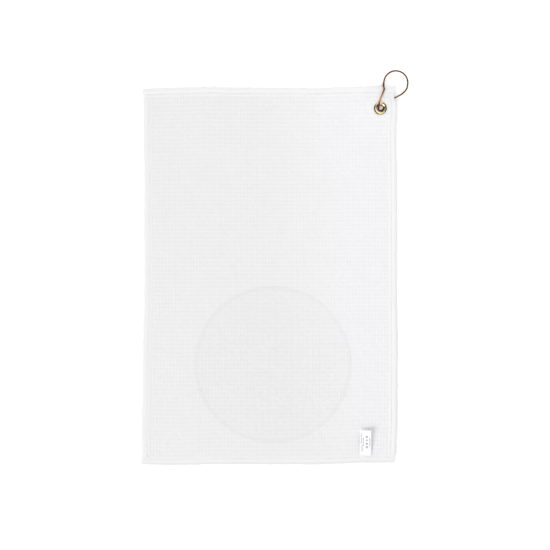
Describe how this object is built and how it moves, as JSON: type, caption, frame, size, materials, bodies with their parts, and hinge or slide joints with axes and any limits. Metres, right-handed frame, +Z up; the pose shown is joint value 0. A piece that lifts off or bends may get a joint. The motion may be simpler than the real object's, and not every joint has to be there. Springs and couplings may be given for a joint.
{
  "type": "golf towel",
  "caption": "Rectangular waffle-weave golf towel with stitched hems, a brass grommet in one corner, a wire bag hook and a sewn-in care tag.",
  "frame": {"origin": "the centre of the towel, on its underside, the side that it lies on", "axes": "+X across the towel towards the grommet side, +Y along the towel towards the grommet end, +Z up out of the towel's back"},
  "size_m": [0.4278, 0.6369, 0.0113],
  "materials": {
    "waffle_cloth": "matt white waffle weave",
    "hem_cloth": "matt white, pressed flat",
    "sewing_thread": "white polyester thread",
    "grommet_brass": "polished brass",
    "hook_wire": "copper-toned brass wire",
    "tag_ribbon": "white satin ribbon"
  },
  "bodies": {
    "towel": {"towel_cloth": "waffle_cloth", "hem_top": "hem_cloth", "hem_bottom": "hem_cloth", "hem_left": "hem_cloth", "hem_right": "hem_cloth", "needle_thread_top": "sewing_thread", "needle_thread_bottom": "sewing_thread", "needle_thread_left": "sewing_thread", "needle_thread_right": "sewing_thread", "bobbin_thread_top": "sewing_thread", "bobbin_thread_bottom": "sewing_thread", "bobbin_thread_left": "sewing_thread", "bobbin_thread_right": "sewing_thread", "grommet_eyelet": "grommet_brass", "grommet_washer": "grommet_brass"},
    "hook": {"hook": "hook_wire"},
    "care_tag": {"care_tag": "tag_ribbon"}
  },
  "joints": [
    {"name": "hook_swing", "type": "hinge", "parent": "towel", "child": "hook", "pos_m": [0.1768, 0.2707, 0.006], "axis": [0, 0, 1], "range_deg": [-14, 28]},
    {"name": "care_tag_flip", "type": "hinge", "parent": "towel", "child": "care_tag", "pos_m": [0.1529, -0.2911, 0.0038], "axis": [1, 0, 0], "range_deg": [-8, 150]}
  ]
}
